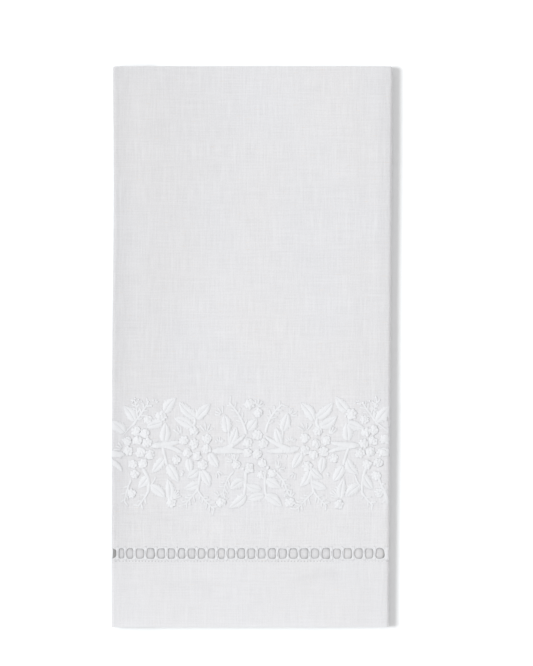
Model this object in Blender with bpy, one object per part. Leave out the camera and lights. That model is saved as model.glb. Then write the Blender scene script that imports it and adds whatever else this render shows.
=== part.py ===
"""A linen hand towel with a whitework band, folded in half and then in thirds.

The towel is one closed sheet of cloth. A spot on it is given by two lengths: "across", measured from the
middle of the front panel and continued round the side folds, and "along", measured from the front hem, over
the top fold and down the back ply. cloth_points() lays such spots in space. Tables are in millimetres.
"""

import math

import bpy
import numpy as np
from mathutils import Vector
from mathutils.geometry import delaunay_2d_cdt

MM = 0.001

# The cloth and its stack: two plies at every panel, front panel over left flap over right flap.
SHEET = 1.0 * MM
LAYER_GAP = 0.35 * MM
HALF_PLY = (SHEET + LAYER_GAP) / 2
PAIR_PITCH = 2 * (SHEET + LAYER_GAP)
OUTER_REACH = HALF_PLY + SHEET / 2
RIGHT_LEVEL = OUTER_REACH
LEFT_LEVEL = RIGHT_LEVEL + PAIR_PITCH
FRONT_LEVEL = LEFT_LEVEL + PAIR_PITCH

# The folded outline.
FOLDED_LENGTH = 266.7 * MM
LEFT_FOLD = -66.86 * MM
LEFT_FOLD_LEAN = 0.0015
LEFT_FOLD_DENT = 0.7 * MM
LEFT_DENT_AT = 205.0 * MM
LEFT_DENT_SPREAD = 55.0 * MM
RIGHT_FOLD = 64.99 * MM
RIGHT_FOLD_LEAN = 0.007
BACK_PLY_SHORT = 1.2 * MM
FLAP_CLEAR = 18.2 * MM
FLAP_SKEW = 0.006

# Past the flaps' free edges the left flap sags, and the front panel a little. The stack is slightly wavy.
FLAP_SAG = 2.1 * MM
FRONT_LEFT_SAG = 0.4 * MM
FRONT_RIGHT_SAG = 0.5 * MM
SAG_RUN = 12.5 * MM
SAG_STARTS = FLAP_CLEAR - 1.6 * MM
WAVE = 0.16 * MM
WAVE_ACROSS = 97.0 * MM
WAVE_ALONG = 143.0 * MM

# Side folds: their shape, a superellipse of this power, and their nominal lengths on the flat cloth.
FOLD_POWER = 2.7
LEFT_RADIUS = (PAIR_PITCH + FLAP_SAG - FRONT_LEFT_SAG) / 2
RIGHT_RADIUS = (2 * PAIR_PITCH - FRONT_RIGHT_SAG) / 2
LEFT_ARC = math.pi * LEFT_RADIUS
RIGHT_ARC = math.pi * RIGHT_RADIUS
LEFT_TURN = LEFT_FOLD + OUTER_REACH + LEFT_RADIUS
RIGHT_TURN = RIGHT_FOLD + RIGHT_FOLD_LEAN * FOLDED_LENGTH / 2 - OUTER_REACH - RIGHT_RADIUS
FLAP_LENGTH = RIGHT_TURN - LEFT_TURN - FLAP_CLEAR
LEFT_END = LEFT_TURN - LEFT_ARC - FLAP_LENGTH
RIGHT_END = RIGHT_TURN + RIGHT_ARC + FLAP_LENGTH
TOP_TURN = FOLDED_LENGTH - OUTER_REACH
TOP_ARC = math.pi * HALF_PLY
BACK_END = TOP_TURN + TOP_ARC + TOP_TURN - BACK_PLY_SHORT

# Grid of the plain cloth.
MERGE = 0.06 * MM
SAME_SPOT = 1e-7
ARC_STEPS = 8
TOP_STEPS = 4
PANEL_STEPS = 6
SAG_STEPS = 3
FRONT_ROWS = (0.0, 16.0, 30.5, 39.5, 53.0, 72.0, 92.0, 111.0, 140.0, 172.0, 204.0, 236.0)
BACK_ROWS = (236.0, 196.0, 150.0, 104.0, 60.0, 26.0)

# Drawn-thread row: openings between bundled threads. They are numbered from the last one on the front, and the
# number that lies on the right fold has none.
HOLE_PITCH = 4.98 * MM
HOLE_WIDTH = 4.0 * MM
HOLE_HEIGHT = 5.2 * MM
HOLE_CORNER = 1.0 * MM
HOLE_UP = 35.0 * MM
LAST_FRONT_HOLE = 60.9 * MM
FOLD_NUMBER = 1
HOLE_VARIES = 0.05
WIDTH_TURNS = 5.1
HEIGHT_TURNS = 3.7
STRIP_BOTTOM = 30.5 * MM
STRIP_TOP = 39.5 * MM

# Raised embroidery. Its chart is half the band, mirrored about the band's middle.
BAND_BOTTOM = 53.0 * MM
BAND_TOP = 111.0 * MM
CHART_MIDDLE = 1.9 * MM
CHART_UP = 81.9 * MM
WOBBLE = 0.4 * MM
WOBBLE_ACROSS = (1.7, 2.3)
WOBBLE_UP = (2.9, -1.3)
BERRY_RISE = 1.7 * MM
BERRY_SIDES = 6
BERRY_SHOULDER = 0.7
BERRY_TURNS = 40.0
LEAF_RISE = 0.9 * MM
LEAF_STATIONS = (0.2, 0.5, 0.8)
LEAF_INNER = (0.35, 0.68)
LEAF_RIB = (0.3, 0.72)
LEAF_CREST = 0.6
LEAF_WIDEST = 0.8
LEAF_FULLNESS = 0.75
LEAF_END_SLOPE = 8
VEIN_DEPTH = 0.4
BAR_RISE = 1.0 * MM
STEM_RISE = 0.7 * MM
STRIP_SPOTS = 4
RELIEF_ENDS_AT = math.radians(65)
RELIEF_FADES_FROM = math.radians(15)

# Berries: across, up, radius.
BERRIES = (
    (57.0, 11.5, 2.6),
    (52.5, 10.5, 2.5),
    (61.5, 7.0, 2.5),
    (56.5, 6.5, 2.6),
    (51.5, 5.5, 2.6),
    (60.5, 1.5, 2.6),
    (55.2, 1.5, 2.7),
    (50.2, 0.5, 2.6),
    (59.0, -4.0, 2.5),
    (53.5, -4.5, 2.6),
    (57.5, -9.5, 2.5),
    (45.5, 19.0, 2.9),
    (51.5, 17.0, 2.4),
    (59.5, -18.0, 2.4),
    (38.0, -2.0, 2.4),
    (40.5, -23.0, 2.6),
    (29.5, 11.5, 2.5),
    (23.5, 8.0, 2.6),
    (34.0, 7.0, 2.5),
    (29.0, 5.5, 2.6),
    (23.8, 2.5, 2.6),
    (32.8, 1.2, 2.6),
    (28.2, -0.2, 2.5),
    (24.8, -5.0, 2.7),
    (3.4, 5.8, 2.6),
    (8.2, -7.0, 2.5),
    (16.4, -22.5, 2.6),
)

# Berries at the middle, which stand once: across (left is minus), up, radius.
MIDDLE_BERRIES = (
    (-3.2, 24.6, 2.8),
    (1.2, 20.4, 2.5),
    (-4.2, 0.6, 2.5),
    (1.2, 0.8, 2.6),
    (3.6, -3.6, 2.5),
    (-2.8, -6.2, 2.6),
)

# Leaves: base across, base up, tip across, tip up, width.
LEAVES = (
    (58.0, 16.0, 63.0, 23.5, 4.6),
    (62.5, 10.5, 68.0, 16.5, 4.6),
    (44.0, 20.5, 38.5, 27.5, 4.6),
    (44.5, 15.5, 52.0, 13.0, 4.2),
    (44.0, 6.5, 43.0, 15.0, 4.8),
    (29.0, 17.5, 36.5, 25.0, 4.6),
    (28.0, 17.0, 21.5, 24.5, 4.8),
    (30.5, 13.5, 38.5, 18.0, 4.6),
    (13.5, 11.0, 15.0, 19.5, 4.8),
    (12.0, 5.5, 9.5, 13.0, 4.0),
    (43.5, -2.0, 49.0, -9.0, 4.2),
    (42.0, -5.0, 37.0, -13.0, 4.6),
    (51.5, -10.0, 56.5, -16.0, 4.2),
    (49.5, -14.5, 43.5, -20.0, 4.6),
    (41.0, -20.5, 42.0, -11.5, 4.2),
    (32.0, -1.5, 31.5, -8.5, 3.8),
    (27.0, -7.0, 32.5, -11.0, 3.8),
    (25.5, -7.5, 22.0, -15.0, 4.4),
    (27.0, -13.0, 34.5, -16.0, 4.2),
    (21.5, 0.5, 18.0, -6.5, 4.2),
    (5.0, -12.0, 12.5, -16.0, 4.6),
    (5.0, -19.0, 12.5, -25.0, 4.6),
)

# Leaves at the middle, which stand once, in the same columns, left is minus.
MIDDLE_LEAVES = (
    (-4.0, 11.5, 1.0, 17.0, 4.6),
    (3.0, -17.0, -4.5, -14.5, 4.0),
    (3.6, -19.0, -4.0, -21.0, 4.0),
)

# Satin bars: three spots of a bent path, across and up, and the widths at its two ends.
BARS = (
    (49.0, 4.2, 42.5, 4.4, 36.0, 6.2, 2.8, 1.8),
    (44.0, 3.8, 39.5, 3.4, 35.0, 1.2, 2.0, 1.6),
    (20.5, 2.4, 12.5, 2.2, 5.5, 1.8, 3.2, 1.8),
    (16.5, 2.8, 11.0, 4.2, 5.6, 7.8, 2.0, 1.5),
    (69.0, 0.3, 66.0, 0.2, 63.0, 0.2, 2.6, 2.4),
    (69.0, -2.0, 66.5, -4.0, 64.0, -7.0, 1.9, 1.7),
)

# Stems: three spots of a bent path, across and up, and the widths at its two ends.
STEMS = (
    (44.0, 3.0, 43.5, -0.5, 42.0, -4.0, 1.3, 1.2),
    (53.0, -7.0, 50.5, -12.0, 51.5, -17.5, 1.5, 1.2),
    (51.5, -17.5, 53.0, -21.0, 56.0, -24.0, 1.2, 0.9),
    (59.5, -12.0, 62.0, -17.0, 62.5, -22.5, 1.2, 0.9),
    (26.5, -8.0, 26.8, -12.5, 28.0, -17.0, 1.3, 1.2),
    (28.0, -17.0, 30.5, -20.5, 34.0, -24.0, 1.1, 0.9),
    (28.0, -17.0, 24.5, -21.5, 19.5, -25.5, 1.1, 0.9),
    (10.5, -8.5, 15.0, -12.5, 15.5, -19.0, 1.1, 1.0),
    (4.5, -8.5, 4.5, -12.5, 5.3, -18.5, 1.5, 1.3),
    (12.0, 24.0, 6.5, 18.5, 5.0, 11.0, 1.1, 1.2),
    (58.0, 14.5, 54.5, 19.5, 51.5, 24.0, 1.2, 0.9),
)


def smooth_step(value):
    """Rises from 0 to 1 as value does, with no slope at either end."""
    value = np.clip(value, 0.0, 1.0)
    return value * value * (3 - 2 * value)


def left_fold(up):
    """The folded towel's left outline: a leaning line with one shallow dent."""
    dent = LEFT_FOLD_DENT * np.exp(-(((up - LEFT_DENT_AT) / LEFT_DENT_SPREAD) ** 2))
    return LEFT_FOLD + LEFT_FOLD_LEAN * up + dent


def right_fold(up):
    return RIGHT_FOLD + RIGHT_FOLD_LEAN * up


def wave(x, up):
    """Slow waves of the stack, from nothing to twice WAVE."""
    return WAVE * (1 + np.sin(2 * math.pi * (x / WAVE_ACROSS + up / WAVE_ALONG)))


def near_left_fold(x):
    return smooth_step((LEFT_TURN + SAG_STARTS - x) / SAG_RUN)


def near_right_fold(x):
    return smooth_step((x - RIGHT_TURN + SAG_STARTS) / SAG_RUN)


def front_height(x, up):
    sag = FRONT_LEFT_SAG * near_left_fold(x) + FRONT_RIGHT_SAG * near_right_fold(x)
    return FRONT_LEVEL + wave(x, up) - sag


def left_height(x, up):
    return LEFT_LEVEL + wave(x, up) / 2 - FLAP_SAG * near_left_fold(x)


def right_height(x, up):
    return RIGHT_LEVEL + 0 * x


def panel(height, x, up, side):
    """Middle line and outward normal of a panel; side is 1 where its right side is up, -1 where turned."""
    step = 0.1 * MM
    slope = (height(x + step, up) - height(x - step, up)) / (2 * step)
    length = np.sqrt(1 + slope * slope)
    return x, height(x, up), -side * slope / length, side / length


def turn(edge, upper, lower, up, hand, angle):
    """Middle line and outward normal round a side fold, angle 0 on top; hand is -1 left, 1 right."""
    top, bottom = upper(edge, up), lower(edge, up)
    radius = (top - bottom) / 2
    aside, above = np.abs(np.sin(angle)), np.cos(angle)
    reach = radius * (aside**FOLD_POWER + np.abs(above) ** FOLD_POWER) ** (-1 / FOLD_POWER)
    normal_aside = aside ** (FOLD_POWER - 1)
    normal_above = np.sign(above) * np.abs(above) ** (FOLD_POWER - 1)
    length = np.hypot(normal_aside, normal_above)
    x = edge - hand * radius + hand * reach * aside
    return x, (top + bottom) / 2 + reach * above, hand * normal_aside / length, normal_above / length


def pair_line(across, up):
    """Middle line of the two plies and its normal, at a length across the cloth and up the towel."""
    left = left_fold(up) + OUTER_REACH
    right = right_fold(up) - OUTER_REACH
    left_radius = (front_height(left, up) - left_height(left, up)) / 2
    right_radius = (front_height(right, up) - right_height(right, up)) / 2
    left_start = left + left_radius
    right_start = right - right_radius
    share = (across - LEFT_TURN) / (RIGHT_TURN - LEFT_TURN)
    skew = 1 + FLAP_SKEW * up / FOLDED_LENGTH
    left_angle = math.pi * (LEFT_TURN - across) / LEFT_ARC
    right_angle = math.pi * (across - RIGHT_TURN) / RIGHT_ARC
    left_run = (LEFT_TURN - LEFT_ARC - across) * skew
    right_run = (across - RIGHT_TURN - RIGHT_ARC) * skew
    pieces = (
        (across < LEFT_TURN - LEFT_ARC, panel(left_height, left_start + left_run, up, -1)),
        (across < LEFT_TURN, turn(left, front_height, left_height, up, -1, left_angle)),
        (across <= RIGHT_TURN, panel(front_height, left_start + share * (right_start - left_start), up, 1)),
        (across < RIGHT_TURN + RIGHT_ARC, turn(right, front_height, right_height, up, 1, right_angle)),
        (across < math.inf, panel(right_height, right_start - right_run, up, -1)),
    )
    wheres = [where for where, _ in pieces]
    return [np.select(wheres, [found[part] + 0 * across for _, found in pieces]) for part in range(4)]


def cloth_points(across, along, lift):
    """Spots of the cloth in space. lift is how far each lies outside the cloth's middle layer."""
    angle = np.clip((along - TOP_TURN) / HALF_PLY, 0.0, math.pi)
    up = np.where(along <= TOP_TURN, along, np.minimum(TOP_TURN, 2 * TOP_TURN + TOP_ARC - along))
    x, z, normal_x, normal_z = pair_line(across, up)
    reach = HALF_PLY + lift
    y = up + reach * np.sin(angle) - FOLDED_LENGTH / 2
    out = reach * np.cos(angle)
    return np.column_stack((x + normal_x * out, y, z + normal_z * out))


def wobbled(across, up, side):
    """A chart spot on the cloth, mirrored to its side and moved a little, since it is worked by hand."""
    shift_across = WOBBLE * math.sin(WOBBLE_ACROSS[0] * across + WOBBLE_ACROSS[1] * up + side)
    shift_up = WOBBLE * math.sin(WOBBLE_UP[0] * across + WOBBLE_UP[1] * up + 2 * side)
    return np.array((CHART_MIDDLE + side * across * MM + shift_across, CHART_UP + up * MM + shift_up))


def berry(middle, radius):
    """Outlines and height of one berry: a low dome."""
    around = np.arange(BERRY_SIDES) * 2 * math.pi / BERRY_SIDES + BERRY_TURNS * middle[0] / MM
    ring = np.column_stack((np.cos(around), np.sin(around))) * radius
    loops = [middle + ring, middle + ring * BERRY_SHOULDER]

    def height(spots):
        far = np.linalg.norm(spots - middle, axis=1) / (radius * math.cos(math.pi / BERRY_SIDES))
        return BERRY_RISE * np.sqrt(np.clip(1 - far**2, 0, 1))

    return loops, [], [middle], height


def leaf_half_width(share, width):
    return width / 2 * np.sin(math.pi * np.clip(share, 0, 1) ** LEAF_WIDEST) ** LEAF_FULLNESS


def leaf(base, tip, width):
    """Outline, rib and height of one padded leaf, lower along its rib and rounded at its sides."""
    length = np.linalg.norm(tip - base)
    forward = (tip - base) / length
    aside = np.array((-forward[1], forward[0]))

    def edge(shares, part):
        shares = np.array(shares)
        offset = leaf_half_width(shares, width) * part
        return base + np.outer(shares * length, forward) + np.outer(offset, aside)

    outline = np.vstack(([base], edge(LEAF_STATIONS, 1), [tip], edge(LEAF_STATIONS[::-1], -1)))
    crest = np.vstack((edge(LEAF_INNER, LEAF_CREST), edge(LEAF_INNER[::-1], -LEAF_CREST)))
    rib = edge(LEAF_RIB, 0)

    def height(spots):
        share = (spots - base) @ forward / length
        half = np.maximum(leaf_half_width(share, width), 1e-3 * MM)
        aside_share = np.abs((spots - base) @ aside) / half
        ends = np.clip(LEAF_END_SLOPE * np.minimum(share, 1 - share), 0, 1)
        vein = 1 - VEIN_DEPTH * np.clip(1 - aside_share / LEAF_CREST, 0, 1)
        side = smooth_step((1 - aside_share) / (1 - LEAF_CREST))
        return LEAF_RISE * ends * vein * side

    return [outline, crest], [rib], [], height


def strip(row, side, rise, crests):
    """Outline, crest lines and height of a bar or stem along a bent path that tapers."""
    start, bend, end = (wobbled(row[i], row[i + 1], side) for i in (0, 2, 4))
    shares = np.linspace(0, 1, STRIP_SPOTS)[:, None]
    path = (1 - shares) ** 2 * start + 2 * shares * (1 - shares) * bend + shares**2 * end
    ahead = np.gradient(path, axis=0)
    ahead /= np.linalg.norm(ahead, axis=1)[:, None]
    aside = np.column_stack((-ahead[:, 1], ahead[:, 0]))
    half = (row[6] + (row[7] - row[6]) * shares) * MM / 2
    outline = np.vstack((path + aside * half, (path - aside * half)[::-1]))
    lines = [path + aside * half * crest for crest in crests]

    def height(spots):
        best = np.zeros(len(spots))
        for first, second, wide in zip(path[:-1], path[1:], half[:-1, 0]):
            run = second - first
            share = np.clip((spots - first) @ run / (run @ run), 0, 1)
            far = np.linalg.norm(spots - first - share[:, None] * run, axis=1) / wide
            best = np.maximum(best, rise * np.sqrt(np.clip(1 - far**2, 0, 1)))
        return best

    return [outline], lines, [], height


def embroidery():
    """Every raised motif of the front panel, as (loops, lines, spots, height function)."""
    motifs = []
    for side in (-1, 1):
        for across, up, radius in BERRIES:
            motifs.append(berry(wobbled(across, up, side), radius * MM))
        for base_across, base_up, tip_across, tip_up, width in LEAVES:
            base = wobbled(base_across, base_up, side)
            motifs.append(leaf(base, wobbled(tip_across, tip_up, side), width * MM))
        motifs += [strip(row, side, BAR_RISE, (-0.5, 0.5)) for row in BARS]
        motifs += [strip(row, side, STEM_RISE, (0,)) for row in STEMS]
    for across, up, radius in MIDDLE_BERRIES:
        motifs.append(berry(wobbled(across, up, 1), radius * MM))
    for base_across, base_up, tip_across, tip_up, width in MIDDLE_LEAVES:
        motifs.append(leaf(wobbled(base_across, base_up, 1), wobbled(tip_across, tip_up, 1), width * MM))
    return motifs


def relief(spots, heights):
    """How far the embroidery stands up at each spot, dying away round the side folds."""
    raised = np.max([height(spots) for height in heights], axis=0)
    past_left = math.pi * (LEFT_TURN - spots[:, 0]) / LEFT_ARC
    past_right = math.pi * (spots[:, 0] - RIGHT_TURN) / RIGHT_ARC
    past = np.maximum(past_left, past_right)
    return raised * smooth_step((RELIEF_ENDS_AT - past) / (RELIEF_ENDS_AT - RELIEF_FADES_FROM))


def hole_outline(middle):
    """One opening of the drawn-thread row: an upright box with cut corners, each a little different."""
    number = middle / HOLE_PITCH
    half_width = HOLE_WIDTH / 2 * (1 + HOLE_VARIES * math.sin(WIDTH_TURNS * number))
    half_height = HOLE_HEIGHT / 2 * (1 + HOLE_VARIES * math.sin(HEIGHT_TURNS * number))
    corners = []
    for side, level in ((1, -1), (1, 1), (-1, 1), (-1, -1)):
        upright = (side * half_width, level * (half_height - HOLE_CORNER))
        flat = (side * (half_width - HOLE_CORNER), level * half_height)
        corners += [upright, flat] if side == level else [flat, upright]
    return np.array(corners) + (middle, HOLE_UP)


def columns():
    """Lengths across the cloth at which the plain grid has its lines."""
    left_flap = np.linspace(LEFT_END, LEFT_TURN - LEFT_ARC - FLAP_CLEAR, PANEL_STEPS)
    left_low = np.linspace(left_flap[-1], LEFT_TURN - LEFT_ARC, SAG_STEPS + 1)
    left_arc = np.linspace(LEFT_TURN - LEFT_ARC, LEFT_TURN, ARC_STEPS + 1)
    left_slope = np.linspace(LEFT_TURN, LEFT_TURN + FLAP_CLEAR, SAG_STEPS + 2)
    middle = np.linspace(LEFT_TURN + FLAP_CLEAR, RIGHT_TURN - FLAP_CLEAR, PANEL_STEPS + 1)
    right_slope = np.linspace(RIGHT_TURN - FLAP_CLEAR, RIGHT_TURN, SAG_STEPS + 2)
    right_arc = np.linspace(RIGHT_TURN, RIGHT_TURN + RIGHT_ARC, ARC_STEPS + 1)
    right_flap = np.linspace(RIGHT_TURN + RIGHT_ARC, RIGHT_END, PANEL_STEPS + 1)
    stretches = (left_flap, left_low, left_arc, left_slope, middle, right_slope, right_arc, right_flap)
    return np.concatenate([stretches[0]] + [stretch[1:] for stretch in stretches[1:]])


def rows():
    """Lengths along the cloth, from the front hem over the top fold, of the plain grid's lines."""
    front = np.array(FRONT_ROWS) * MM
    top = np.linspace(TOP_TURN, TOP_TURN + TOP_ARC, TOP_STEPS + 1)
    back = 2 * TOP_TURN + TOP_ARC - np.array(BACK_ROWS) * MM
    return np.concatenate((front, top, back, [BACK_END]))


def filled(bottom, top, first, last, loops, lines, spots):
    """Triangles of the patch between two rows and two columns, with the loops, lines and spots in it."""
    inner_columns = [value for value in columns() if first - SAME_SPOT <= value <= last + SAME_SPOT]
    inner_rows = [value for value in rows() if bottom - SAME_SPOT <= value <= top + SAME_SPOT]
    around = [(value, bottom) for value in inner_columns]
    around += [(last, value) for value in inner_rows[1:]]
    around += [(value, top) for value in inner_columns[-2::-1]]
    around += [(first, value) for value in inner_rows[-2:0:-1]]
    points, edges = [], []

    def add(path, closed):
        start = len(points)
        points.extend(path)
        edges.extend((start + i, start + i + 1) for i in range(len(path) - 1))
        if closed:
            edges.append((start + len(path) - 1, start))

    add(around, True)
    for value in inner_columns[1:-1]:
        add([(value, row) for row in (inner_rows[0], inner_rows[-1])], False)
    for loop in loops:
        add([tuple(point) for point in loop], True)
    for line in lines:
        add([tuple(point) for point in line], False)
    points.extend(tuple(spot) for spot in spots)
    flat = [Vector((point[0] / MM, point[1] / MM)) for point in points]
    found = delaunay_2d_cdt(flat, edges, [], 0, MERGE / MM)
    exact = [
        points[min(known)] if known else tuple(spot * MM) for spot, known in zip(found[0], found[3])
    ]
    return np.array(exact), [tuple(face) for face in found[2]]


class Face:
    """One side of the cloth: its spots, kept once each, and its triangles, anticlockwise when flat."""

    def __init__(self):
        self.index = {}
        self.triangles = []

    def spot(self, point):
        key = (round(point[0] / SAME_SPOT), round(point[1] / SAME_SPOT))
        return self.index.setdefault(key, len(self.index))

    def add(self, corners):
        self.triangles.append(tuple(self.spot(corner) for corner in corners))

    def spots(self):
        return np.array(list(self.index), float) * SAME_SPOT

    def rim(self):
        """Edges that only one triangle has, each in that triangle's direction."""
        edges = {(a, b) for t in self.triangles for a, b in ((t[0], t[1]), (t[1], t[2]), (t[2], t[0]))}
        return [edge for edge in sorted(edges) if edge[::-1] not in edges]


def add_grid(face, patches):
    """Plain grid triangles, leaving out the cells that a patch fills."""
    across, along = columns(), rows()
    for low, high in zip(along[:-1], along[1:]):
        for left, right in zip(across[:-1], across[1:]):
            middle = ((left + right) / 2, (low + high) / 2)
            if any(a < middle[0] < b and c < middle[1] < d for a, b, c, d in patches):
                continue
            face.add(((left, low), (right, low), (right, high)))
            face.add(((left, low), (right, high), (left, high)))


def inside(point, outline):
    """Whether a point lies in a convex, anticlockwise outline."""
    ahead = np.roll(outline, -1, axis=0) - outline
    toward = point - outline
    return bool((ahead[:, 0] * toward[:, 1] - ahead[:, 1] * toward[:, 0] > 0).all())


def add_patch(face, points, triangles, holes):
    for triangle in triangles:
        corners = points[list(triangle)]
        middle = corners.mean(axis=0)
        in_hole = any(
            abs(middle[0] - hole) < HOLE_WIDTH / 2 * (1 + HOLE_VARIES)
            and inside(middle, hole_outline(hole))
            for hole in holes
        )
        if not in_hole:
            face.add(corners)


def cloth_mesh():
    """Points and faces of the whole cloth: an outer side with the embroidery, an inner side, and rims."""
    outer, inner = Face(), Face()
    count_left = math.floor((LAST_FRONT_HOLE - LEFT_END - HOLE_PITCH) / HOLE_PITCH)
    count_right = math.floor((RIGHT_END - LAST_FRONT_HOLE - HOLE_PITCH) / HOLE_PITCH)
    numbers = [number for number in range(-count_left, count_right + 1) if number != FOLD_NUMBER]
    holes = [LAST_FRONT_HOLE + number * HOLE_PITCH for number in numbers]
    strip_points, strip_triangles = filled(
        STRIP_BOTTOM, STRIP_TOP, LEFT_END, RIGHT_END, [hole_outline(hole) for hole in holes], [], []
    )
    motifs = embroidery()
    loops = [loop for motif in motifs for loop in motif[0]]
    lines = [line for motif in motifs for line in motif[1]]
    spots = [spot for motif in motifs for spot in motif[2]]
    band_left = LEFT_TURN - LEFT_ARC - FLAP_CLEAR / SAG_STEPS
    band_right = RIGHT_TURN + RIGHT_ARC + FLAP_LENGTH / PANEL_STEPS
    band_points, band_triangles = filled(
        BAND_BOTTOM, BAND_TOP, band_left, band_right, loops, lines, spots
    )
    strip_box = (LEFT_END, RIGHT_END, STRIP_BOTTOM, STRIP_TOP)
    add_grid(outer, [strip_box, (band_left, band_right, BAND_BOTTOM, BAND_TOP)])
    add_grid(inner, [strip_box])
    for face in (outer, inner):
        add_patch(face, strip_points, strip_triangles, holes)
    add_patch(outer, band_points, band_triangles, [])

    outer_spots, inner_spots = outer.spots(), inner.spots()
    on_band = (outer_spots[:, 1] > BAND_BOTTOM) & (outer_spots[:, 1] < BAND_TOP)
    raised = np.where(on_band, relief(outer_spots, [motif[3] for motif in motifs]), 0)
    points = np.vstack((
        cloth_points(outer_spots[:, 0], outer_spots[:, 1], SHEET / 2 + raised),
        cloth_points(inner_spots[:, 0], inner_spots[:, 1], np.full(len(inner_spots), -SHEET / 2)),
    ))
    shift = len(outer_spots)
    keys = list(outer.index)
    faces = list(outer.triangles)
    faces += [(a + shift, c + shift, b + shift) for a, b, c in inner.triangles]
    for first, second in outer.rim():
        below_first = inner.index[keys[first]] + shift
        below_second = inner.index[keys[second]] + shift
        faces.append((second, first, below_first))
        faces.append((second, below_first, below_second))
    return points, faces


def linen_material():
    material = bpy.data.materials.new("white_linen")
    material.use_nodes = True
    shader = material.node_tree.nodes["Principled BSDF"]
    shader.inputs["Base Color"].default_value = (0.86, 0.86, 0.875, 1)
    shader.inputs["Roughness"].default_value = 0.9
    shader.inputs["Metallic"].default_value = 0
    return material


def clear_scene():
    for thing in list(bpy.data.objects):
        bpy.data.objects.remove(thing)


def main():
    clear_scene()
    points, faces = cloth_mesh()
    mesh = bpy.data.meshes.new("towel")
    mesh.from_pydata(points.tolist(), [], faces)
    mesh.validate()
    mesh.shade_smooth()
    mesh.set_sharp_from_angle(angle=math.radians(40))
    mesh.materials.append(linen_material())
    bpy.context.scene.collection.objects.link(bpy.data.objects.new("towel", mesh))


main()
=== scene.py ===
"""A white linen hand towel, folded in half and then in thirds, as it lies face up. Metres, +Z up.

Everything is worked on the flat cloth first: "across" is the length across it from the middle of the front
panel, "along" the length from the front hem over the top fold, and "lift" the height off its middle layer.
"""

import math

import bpy
import numpy as np
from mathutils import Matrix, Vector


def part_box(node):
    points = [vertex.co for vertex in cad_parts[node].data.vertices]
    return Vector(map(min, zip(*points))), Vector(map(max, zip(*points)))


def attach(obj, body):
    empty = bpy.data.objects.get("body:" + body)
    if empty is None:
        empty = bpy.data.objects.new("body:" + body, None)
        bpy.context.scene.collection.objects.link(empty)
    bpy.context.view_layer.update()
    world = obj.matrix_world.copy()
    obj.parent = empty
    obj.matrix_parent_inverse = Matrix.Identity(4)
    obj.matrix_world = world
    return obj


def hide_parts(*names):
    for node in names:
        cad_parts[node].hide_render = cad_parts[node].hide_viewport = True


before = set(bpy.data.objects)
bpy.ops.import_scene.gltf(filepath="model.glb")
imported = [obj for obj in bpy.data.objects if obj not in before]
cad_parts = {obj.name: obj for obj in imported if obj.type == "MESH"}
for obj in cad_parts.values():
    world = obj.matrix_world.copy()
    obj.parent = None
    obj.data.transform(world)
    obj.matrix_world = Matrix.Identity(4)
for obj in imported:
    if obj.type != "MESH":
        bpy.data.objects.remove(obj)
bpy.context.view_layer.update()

# Linen cloth. One length of plain-woven white linen, hemmed all round. It is folded in half with the worked
# half outside, and the two plies together are folded in thirds behind: the left third first, the right third
# over it.
MM = 0.001
low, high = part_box("towel")
TOWEL_LENGTH = high[1] - low[1]
HALF_WIDTH = (high[0] - low[0]) / 2
CLOTH_THICK = 0.45 * MM
HALF_PLY = 0.8 * MM
PAIR_PITCH = 2.7 * MM
HEM_LIFT = 0.16 * MM
PUCKER = 0.13 * MM
REACH = HALF_PLY + CLOTH_THICK / 2
RIGHT_LEVEL = REACH + HEM_LIFT + PUCKER
LEFT_LEVEL = RIGHT_LEVEL + PAIR_PITCH
FRONT_LEVEL = LEFT_LEVEL + PAIR_PITCH
LEFT_LEAN = 0.0015
LEFT_DENT = 0.7 * MM
DENT_AT = 205.0 * MM
DENT_SPREAD = 55.0 * MM
RIGHT_LEAN = 0.007
RIGHT_FOLD = 64.99 * MM
FLAP_CLEAR = 18.2 * MM
FLAP_SKEW = 0.006
FRONT_LEFT_SAG = 0.4 * MM
FRONT_RIGHT_SAG = 0.5 * MM
FLAP_SAG = 2.1 * MM
SAG_STARTS = 16.6 * MM
SAG_RUN = 12.5 * MM
WAVE = 0.16 * MM
WAVE_ACROSS = 97.0 * MM
WAVE_ALONG = 143.0 * MM
BACK_PLY_SHORT = 1.2 * MM
FOLD_SQUARE = 5.0
LEFT_RADIUS = (PAIR_PITCH + FLAP_SAG - FRONT_LEFT_SAG) / 2
RIGHT_RADIUS = (2 * PAIR_PITCH - FRONT_RIGHT_SAG) / 2
LEFT_ARC = math.pi * LEFT_RADIUS
RIGHT_ARC = math.pi * RIGHT_RADIUS
LEFT_TURN = -HALF_WIDTH + REACH + LEFT_RADIUS
RIGHT_TURN = RIGHT_FOLD + RIGHT_LEAN * TOWEL_LENGTH / 2 - REACH - RIGHT_RADIUS
FLAP_LENGTH = RIGHT_TURN - LEFT_TURN - FLAP_CLEAR
LEFT_END = LEFT_TURN - LEFT_ARC - FLAP_LENGTH
RIGHT_END = RIGHT_TURN + RIGHT_ARC + FLAP_LENGTH
TOP_TURN = TOWEL_LENGTH - REACH
TOP_ARC = math.pi * HALF_PLY
BACK_END = 2 * TOP_TURN + TOP_ARC - BACK_PLY_SHORT


def smooth_step(value):
    """Rises from 0 to 1 as value does: three times its square less twice its cube."""
    value = np.clip(value, 0.0, 1.0)
    return value * value * (3 - 2 * value)


def wave(x, up):
    return WAVE * (1 + np.sin(2 * math.pi * (x / WAVE_ACROSS + up / WAVE_ALONG)))


def near_left_fold(x):
    return smooth_step((LEFT_TURN + SAG_STARTS - x) / SAG_RUN)


def near_right_fold(x):
    return smooth_step((x - RIGHT_TURN + SAG_STARTS) / SAG_RUN)


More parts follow.
